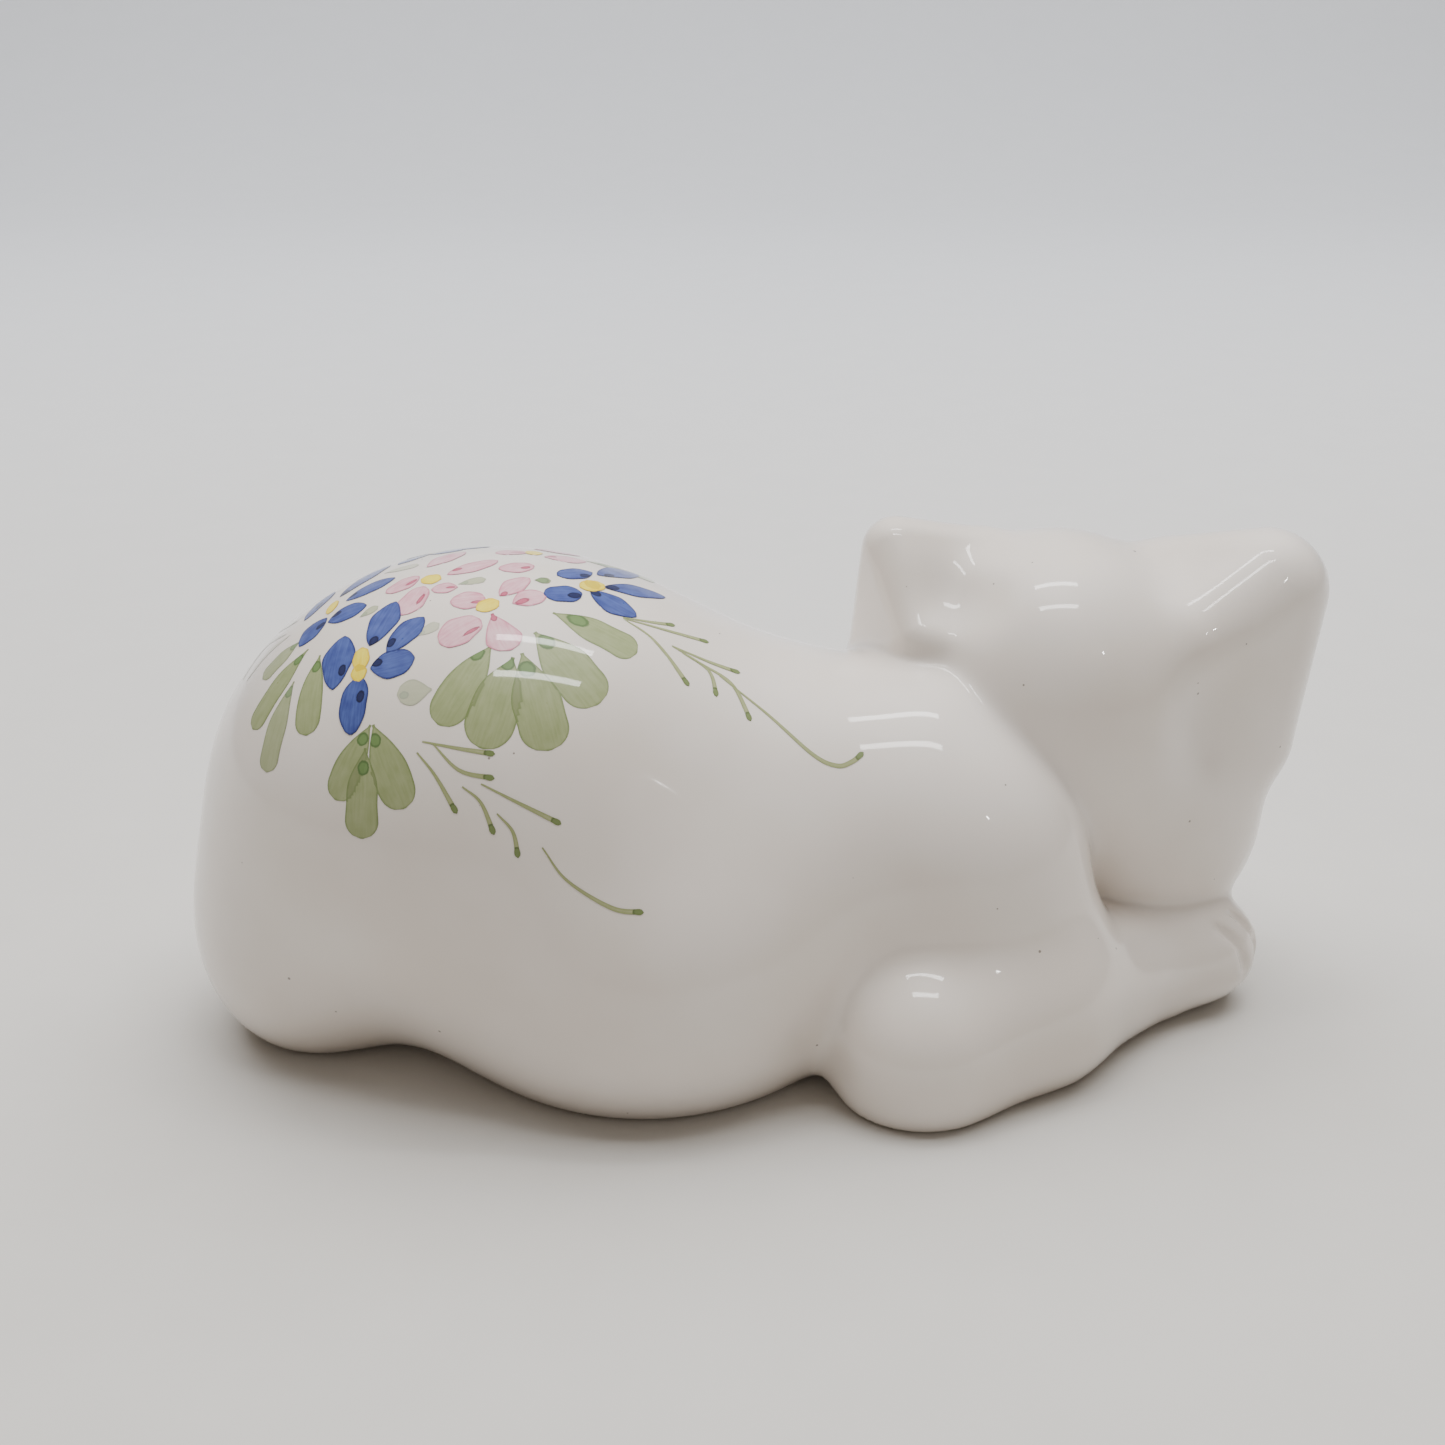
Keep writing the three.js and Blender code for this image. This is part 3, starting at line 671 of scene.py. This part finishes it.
class Motif:
    """The strokes of one painted motif, gathered into one mesh."""

    def __init__(self, name, material, slot):
        self.name, self.material, self.slot = name, material, slot
        self.vertices, self.faces, self.normals, self.brush = [], [], [], []
        self.layers = {"edge": [], "dot": [], "under": [], "thin": []}
        self.laid = []
        self.count = 0

    def stroke(self, ends, profile, dot=None, bend=0.0, thin=0.0, lanes=13, step=0.5):
        """One stroke through the places, which are pairs of lean angles.

        profile gives its half width, in millimetres, from the shares of its length and the length.
        dot is where a blot lies, along and to the left of the stroke, and its two half sizes.
        """
        level = FIRST_LEVEL + LEVEL_STEP * next(levels)
        places = [on_body(*end) for end in ends]
        if len(places) == 2:
            places.insert(1, settle(body_side, (sum(places) / 2)[None])[0])
        stations = max(8, round(smooth_route(places, 40)[1] / step))
        centre, length = smooth_route(places, stations)
        centre = settle(body_side, centre)
        tangent = unit(np.gradient(centre, axis=0))
        across = unit(np.cross(unit(gradient(body_side, centre)), tangent))
        share = np.linspace(0, 1, stations)
        half = profile(share, length)
        lane = np.linspace(-1, 1, lanes)
        middle = centre + across * (bend * np.sin(np.pi * share))[:, None]
        flat = middle[:, None, :] + across[:, None, :] * (half[:, None] * lane)[..., None]
        flat = settle(body_side, flat.reshape(-1, 3))
        normal = unit(gradient(body_side, flat))
        seed = rng.uniform(0, 50)
        s_mm = np.repeat(share * length, lanes)
        t_mm = (half[:, None] * lane).ravel()
        values = {
            "edge": np.minimum((half[:, None] * (1 - np.abs(lane))).ravel(), np.minimum(s_mm, length - s_mm)),
            "dot": np.full(len(flat), NO_DOT),
            "under": np.zeros(len(flat)),
            "thin": np.full(len(flat), thin),
        }
        if dot is not None:
            along, left, long, wide = dot
            values["dot"] = np.hypot((s_mm - along) / long, (t_mm - left) / wide)
        for points, inner in self.laid:
            gap = np.linalg.norm(flat[:, None] - points[None], axis=2)
            covered = np.where(gap.min(1) < step, inner[gap.argmin(1)], 0)
            values["under"] = np.maximum(values["under"], covered)
        self.laid.append((flat, values["edge"]))
        for lift in (level, UNDERSIDE):
            self.vertices.append(flat + normal * lift)
            self.normals.append(normal)
            self.brush.append(np.stack([s_mm + seed, t_mm + seed, np.full(len(flat), seed)], 1))
            for name, layer in self.layers.items():
                layer.append(values[name])
        self._close(stations, lanes)

    def _close(self, stations, lanes):
        layer = stations * lanes
        index = np.arange(layer).reshape(stations, lanes) + self.count
        a, b, c, d = index[:-1, :-1], index[1:, :-1], index[1:, 1:], index[:-1, 1:]
        top = np.stack([a, b, c, d], -1).reshape(-1, 4)
        rim = np.concatenate([index[0, :], index[1:, -1], index[-1, -2::-1], index[-2:0:-1, 0]])
        after = np.roll(rim, -1)
        walls = np.stack([rim, after, after + layer, rim + layer], -1)
        self.faces += [top, top[:, ::-1] + layer, walls]
        self.count += 2 * layer

    def finish(self, node):
        faces = np.concatenate(self.faces)
        vertices = np.concatenate(self.vertices)
        normals = np.concatenate(self.normals)
        piece = mesh_object(self.name, vertices, faces, normals[faces].reshape(-1, 3))
        for name, values in self.layers.items():
            layer = piece.data.attributes.new(name, "FLOAT", "POINT")
            layer.data.foreach_set("value", np.concatenate(values).astype(np.float32))
        layer = piece.data.attributes.new("brush", "FLOAT_VECTOR", "POINT")
        layer.data.foreach_set("vector", np.concatenate(self.brush).astype(np.float32).ravel())
        piece.data.materials.append(self.material)
        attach(piece, "root")
        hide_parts(node)


def wavy(amount):
    """A slow random wander of a brush edge, as a factor about 1 at each share of the length."""
    phase = rng.uniform(0, 2 * np.pi, WANDER_WAVES)

    def factor(s):
        waves = [np.sin(2 * np.pi * (k + 1) * s + shift) for k, shift in enumerate(phase)]
        return 1 + amount * sum(waves) / WANDER_WAVES

    return factor


def pointed(width):
    """A petal: rounded at its inner end and drawn to a point outside."""
    wander = wavy(0.08)
    return lambda s, length: 0.64 * width * np.maximum(np.sin(np.pi * s**1.1) ** 0.6 * wander(s), 0.05)


def blunt(width):
    """A petal or a dab, full at both ends."""
    wander = wavy(0.08)
    return lambda s, length: 0.58 * width * np.maximum(np.sin(np.pi * s) ** 0.45 * wander(s), 0.1)


def spoon(width, swell=0.55):
    """A leaf: it swells from its stalk over a share of its length, runs straight and ends round."""
    wander = wavy(0.05)

    def half(s, length):
        rise = np.sin(np.pi / 2 * np.minimum(s / swell, 1)) ** 1.1
        to_end = np.minimum((1 - s) * length / (width / 2), 1)
        cap = np.sqrt(1 - (1 - to_end) ** 2)
        return width / 2 * np.maximum(np.minimum(rise, cap) * wander(s), 0.08)

    return half


def fan(width):
    """A petal that widens all the way to its round end."""
    return spoon(width, 0.85)


def trail(s, length):
    """A thin line that thickens slowly and ends in a small blot."""
    to_end = (1 - s) * length
    blot = LINE_DOT_WIDTH * np.sqrt(np.maximum(1 - (to_end / LINE_DOT_LENGTH - 1) ** 2, 0))
    return np.maximum(np.where(to_end > LINE_DOT_LENGTH, 0.12 + 0.33 * s, 0.04), blot)


# Each leaf: its stalk end, its round end, its width, its blot (along, left, half sizes) and its thinness.
LEAVES = {
    "leaves_front": [
        ((2, 30.5), (-7, 46.5), 6.4, (2.6, -1.1, 1.4, 1.1), 0),
        ((9.5, 27), (22, 41), 8.6, (2.6, 0.3, 1.6, 1.4), 0),
        ((6, 33), (1, 51), 8.1, (1.4, -0.4, 1.3, 1.1), 0),
        ((7.5, 32), (13.5, 51), 8.1, (3.1, 0, 1.5, 1.4), 0)],
    "leaf_shoulder": [((12.5, 21.5), (28.5, 27.5), 5.7, (4.2, 0.6, 1.9, 1.3), 0)],
    "leaves_flank": [
        ((-20, 45.5), (-27.5, 60), 5.3, (2.6, 0, 1.1, 1.0), 0),
        ((-19.5, 45.5), (-13.5, 62), 6.2, (2.6, -0.5, 1.2, 1.0), 0),
        ((-21, 50), (-22.5, 68), 5.8, (3.2, 0, 1.2, 1.0), 0)],
    "leaves_rump": [
        ((-37, 18.5), (-46, 24), 3.8, (1.4, 0, 0.9, 0.8), 0.1),
        ((-34.5, 23), (-47.5, 39), 4.5, (2.4, 0, 1.1, 0.9), 0),
        ((-37, 31), (-43.5, 52), 4.5, (1.9, 0, 1.1, 0.9), 0.1)],
    "leaf_rump": [((-31.5, 26.5), (-33.5, 45.5), 5.0, (2.3, 0, 1.1, 0.9), 0)],
    "leaf_small": [
        ((-8.5, 39.5), (-15, 40), 4.4, (4.6, 0.3, 0.8, 0.7), 0.35),
        ((-12, 27.5), (-8, 25), 2.0, (0.9, 0, 0.6, 0.5), 0.45),
        ((-24, 19), (-20.5, 17), 1.8, (0.9, 0, 0.6, 0.5), 0.3)],
    "leaf_ridge": [
        ((17.5, -3.5), (31.5, -7), 3.4, (3.0, 0, 1.0, 0.7), 0.15),
        ((-5.5, 14), (-0.5, 12.5), 2.0, (1.0, 0, 0.7, 0.5), 0.3),
        ((-21.5, 2), (-14.5, 2.5), 2.2, None, 0.5),
        ((8.5, 12), (11.5, 11.5), 2.0, (1.2, 0, 1.2, 0.9), 0.1)],
}

# Dry lines of a nearly empty brush beside the leaves of the rump.
DRY_LINES = [
    [(-54.5, 12.5), (-49, 4.5), (-42, 10)],
    [(-52, 17.5), (-46, 13), (-40.5, 12.5)],
    [(-46, 1), (-40, 6)],
]

TRAILS = {
    "tendril_flank_1": [
        ((-10, 49.5), (-3, 51), (3.5, 52)),
        ((-8, 50), (-3, 55), (3.5, 56.5))],
    "tendril_flank_2": [((-11, 51.5), (-7.5, 56), (-3.5, 63))],
    "tendril_flank_3": [((-2.5, 58), (1, 61), (3.5, 67))],
    "tendril_flank_4": [((1, 57.5), (8, 61), (16, 65))],
    "tendril_flank_5": [((4, 63), (7, 66.5), (8, 71.5))],
    "tendril_flank_6": [((12.5, 69.5), (17, 76), (24.5, 81.5), (29.5, 82.5))],
    "tendril_back_1": [
        ((25.5, 18.5), (31, 17), (35.5, 15)),
        ((25.5, 18.8), (34, 18), (42, 16.5)),
        ((25.5, 18.8), (31.5, 22.5), (38.5, 32.5))],
    "tendril_back_2": [
        ((35, 22.5), (41.5, 23.5), (47.5, 24)),
        ((37, 23.5), (42, 26.5), (43.5, 33.5)),
        ((35, 22.5), (40.5, 25), (46, 28.5), (49, 38.5)),
        ((44, 27), (51, 35), (56.5, 46), (59, 49), (60.5, 47.5), (61.5, 44.5))],
}

# Each flower: its paint; its petals as inner end, outer end, width, blot and outline; its yellow dabs.
FLOWERS = {
    "blue_flower_4": (cobalt, [
        ((-14, -8), (-19.5, -2.5), 2.8, (1.4, 0, 0.9, 0.6), pointed),
        ((-14, -6.5), (-7, -5.5), 2.6, (1.4, 0, 0.9, 0.6), pointed),
        ((-12, -9), (-2, -8.5), 2.8, (1.4, 0, 0.9, 0.6), pointed),
        ((-12, -11), (-7, -19), 3.6, (1.4, 0, 0.9, 0.7), pointed),
        ((-14, -10.5), (-20.5, -15.5), 3.6, (1.4, 0, 0.9, 0.7), pointed)],
        [((-14.5, -9), (-11, -9), 2.6)]),
    "pink_flower_3": (rose, [
        ((6, -2), (0, -0.5), 2.8, (1.5, 0, 1.4, 0.4), blunt),
        ((7, -7), (16, -8), 2.6, (1.3, 0, 1.1, 0.4), pointed),
        ((8, 6), (1.5, 8.5), 3.3, (1.7, 0.4, 0.9, 0.5), blunt),
        ((9.5, 0), (17.5, -2.5), 3.0, (1.4, 0.6, 0.9, 0.5), pointed)],
        [((5.5, -2), (9, -2.5), 2.6)]),
    "pink_flower_1": (rose, [
        ((-12.5, 5), (-6, -2.5), 3.2, None, pointed),
        ((-8, 10), (1, 4.5), 3.0, (2.1, 0.7, 0.9, 0.5), pointed),
        ((-5.5, 15), (-10.5, 15), 2.4, (1.2, 0, 0.8, 0.3), pointed),
        ((-13.5, 9), (-19.5, 13), 3.3, (1.9, 0.7, 1.2, 0.4), blunt),
        ((-12, 13.5), (-15.5, 21.5), 4.2, (3.4, 1.2, 1.5, 0.4), blunt)],
        [((-13, 10.5), (-9, 11.5), 2.8)]),
    "pink_flower_2": (rose, [
        ((0, 19), (-6.5, 19.5), 3.8, (1.3, 0.7, 1.2, 0.4), blunt),
        ((2.5, 18), (7.5, 11.5), 3.0, (0.8, -0.3, 0.8, 0.5), pointed),
        ((5, 20), (11, 16.5), 3.2, (1.7, -0.4, 1.3, 0.6), pointed),
        ((-0.5, 24.5), (-7.5, 30), 5.0, (2.6, 1.4, 1.7, 0.4), blunt),
        ((1.5, 23), (5.5, 31.5), 6.4, (0.9, 0, 0.9, 0.6), fan)],
        [((-1.5, 22), (2.5, 19.5), 2.7)]),
    "blue_flower_2": (cobalt, [
        ((-37.5, 9.5), (-32.5, -0.5), 2.8, (4.0, -0.5, 1.0, 0.6), pointed),
        ((-30, 6.5), (-21.5, -5), 3.0, (1.2, 0, 0.9, 0.6), pointed),
        ((-28, 10.5), (-18.5, 7), 3.0, (1.3, 0.7, 1.0, 0.6), pointed),
        ((-31, 16.5), (-23, 15.5), 3.5, (1.6, 1.0, 1.0, 0.6), pointed),
        ((-31.5, 14.5), (-37, 20.5), 3.4, (1.9, 0.8, 1.0, 0.6), pointed)],
        [((-30.5, 8), (-31.5, 13), 1.9)]),
    "blue_flower_1": (cobalt, [
        ((-28, 36.5), (-26.5, 23.5), 4.7, (3.4, -1.3, 1.1, 0.7), pointed),
        ((-21, 28), (-17, 17), 4.1, (1.0, -0.3, 1.0, 0.8), pointed),
        ((-17.5, 30.5), (-11, 23), 3.5, (1.8, 0.7, 1.0, 0.7), pointed),
        ((-20.5, 33.5), (-12, 32.5), 4.4, (1.2, 0.9, 1.0, 0.8), pointed),
        ((-22.5, 35), (-24, 47), 4.3, (3.5, 1.1, 1.1, 0.7), blunt)],
        [((-22.5, 28), (-22.5, 33.5), 2.7), ((-23, 32), (-22.5, 36), 2.4)]),
    "blue_flower_3": (cobalt, [
        ((20, 4.5), (28, -7), 3.5, (2.2, -0.9, 1.2, 0.7), pointed),
        ((19, 4), (12.5, 9), 3.2, (2.3, 1.0, 1.0, 0.7), pointed),
        ((17.5, 14), (10.5, 16.5), 4.0, (1.5, 0.6, 1.2, 0.8), blunt),
        ((21.5, 9.5), (33.5, 3.5), 3.1, (1.6, 0, 1.3, 0.8), pointed),
        ((19, 12.5), (28, 17), 4.1, (0.9, 0.2, 1.1, 0.8), pointed)],
        [((17, 12), (21.5, 8.5), 3.0), ((18, 8.5), (20.5, 11), 2.4)]),
}


def paint_leaves():
    for name, leaves in LEAVES.items():
        motif = Motif(name + "_stroke", leaf_green, "leaf_paint")
        for stalk, end, width, blot, thin in leaves:
            motif.stroke([stalk, end], spoon(width), blot, thin=thin, lanes=17)
        if name == "leaves_rump":
            for line in DRY_LINES:
                motif.stroke(line, pointed(0.9), thin=0.6, lanes=5)
        motif.finish(name)


def paint_trails():
    for name, trails in TRAILS.items():
        motif = Motif(name + "_stroke", trail_green, "leaf_paint")
        for places in trails:
            length = smooth_route([on_body(*place) for place in places], 40)[1]
            motif.stroke(places, trail, (length - LINE_DOT_LENGTH, 0, 1.0, 0.8), lanes=7, step=0.35)
        motif.finish(name)


def paint_flowers():
    for name, (paint, petals, dabs) in FLOWERS.items():
        motif = Motif(name + "_petals_stroke", paint, "cobalt_paint" if paint is cobalt else "rose_paint")
        for inner, outer, width, blot, outline in petals:
            motif.stroke([inner, outer], outline(width), blot, bend=rng.uniform(-0.3, 0.3))
        motif.finish(name + "_petals")
        centre = Motif(name + "_centre_dab", yellow, "yellow_paint")
        for start, end, width in dabs:
            centre.stroke([start, end], blunt(width), lanes=9)
        centre.finish(name + "_centre")


paint_leaves()
paint_trails()
paint_flowers()

# ---- Stage, lights and camera ----

ROOM_COLOUR = (1.0, 0.90, 0.80, 1)
ROOM_STRENGTH = 0.225
OVERHEAD_COLOUR = (0.985, 0.99, 1.0)
CAMERA_PLACE = (-7.05, -338.2, 196.8)       # in millimetres, in the figure's axes
CAMERA_TILT = 67.5
CAMERA_ANGLE = 38
BEND_STEPS = 16


def stage_floor():
    """A pale sheet that runs back under the figure and rises behind it in one sweep."""
    bend, rise, depth, half = 0.5, 1.2, 0.9, 2.2
    profile = [(-1.6, 0.0), (depth, 0.0)]
    for k in range(1, BEND_STEPS + 1):
        a = k / BEND_STEPS * math.pi / 2
        profile.append((depth + bend * math.sin(a), bend * (1 - math.cos(a))))
    profile.append((depth + bend, bend + rise))
    vertices = [(x, y, z) for y, z in profile for x in (-half, half)]
    faces = [(2 * i, 2 * i + 1, 2 * i + 3, 2 * i + 2) for i in range(len(profile) - 1)]
    mesh = bpy.data.meshes.new("backdrop")
    mesh.from_pydata(vertices, [], faces)
    mesh.polygons.foreach_set("use_smooth", np.ones(len(faces), bool))
    sheet = bpy.data.objects.new("backdrop", mesh)
    bpy.context.scene.collection.objects.link(sheet)
    material, tree, shader = new_material("pale_sheet")
    place = add(tree, "ShaderNodeTexCoord").outputs["Object"]
    grain = noise(tree, place, 60, 5)
    # Painted light and shade: the sheet is painted darker and warmer at the front and lighter and bluer
    # further back, where it rises, standing in for how the light falls on it.
    front = mixed(tree, grain, (0.625, 0.605, 0.57), (0.665, 0.645, 0.61))
    back = mixed(tree, grain, (0.72, 0.74, 0.775), (0.75, 0.77, 0.805))
    along = add(tree, "ShaderNodeSeparateXYZ")
    tree.links.new(place, along.inputs[0])
    further = fade(tree, along.outputs["Y"], -0.1, 0.9)
    tree.links.new(mixed(tree, further, front, back), shader.inputs["Base Color"])
    shader.inputs["Roughness"].default_value = 0.85
    mesh.materials.append(material)


def area_light(name, at, towards, size, power, colour=(1, 1, 1)):
    light = bpy.data.lights.new(name, "AREA")
    light.shape = "RECTANGLE"
    light.size, light.size_y = size
    light.energy = power
    light.color = colour
    lamp = bpy.data.objects.new(name, light)
    bpy.context.scene.collection.objects.link(lamp)
    lamp.location = at
    way = np.array(towards, float) - np.array(at, float)
    lamp.rotation_euler = Vector(way).to_track_quat("-Z", "Y").to_euler()
    return lamp


def stage_lights():
    world = bpy.data.worlds.new("soft_room")
    bpy.context.scene.world = world
    world.use_nodes = True
    background = world.node_tree.nodes["Background"]
    background.inputs["Color"].default_value = ROOM_COLOUR
    background.inputs["Strength"].default_value = ROOM_STRENGTH
    overhead = area_light("overhead", (0.0, 0.36, 1.05), (0, 0.05, 0), (1.8, 1.2), 31.0, OVERHEAD_COLOUR)
    overhead.visible_glossy = False
    for name, y in (("strip_far", 0.02), ("strip_near", -0.12)):
        area_light(name, (0.04, y, 0.47), (0.04, y, 0), (0.2, 0.024), 0.26)
    area_light("strip_side", (0.36, -0.42, 0.42), (0, 0, 0.05), (0.012, 0.018), 0.06)


def stage_camera():
    camera = bpy.data.objects.new("camera", bpy.data.cameras.new("camera"))
    bpy.context.scene.collection.objects.link(camera)
    camera.location = metre(CAMERA_PLACE)
    camera.rotation_euler = (math.radians(CAMERA_TILT), 0, 0)
    camera.data.angle = math.radians(CAMERA_ANGLE)
    bpy.context.scene.camera = camera


stage_floor()
stage_lights()
stage_camera()
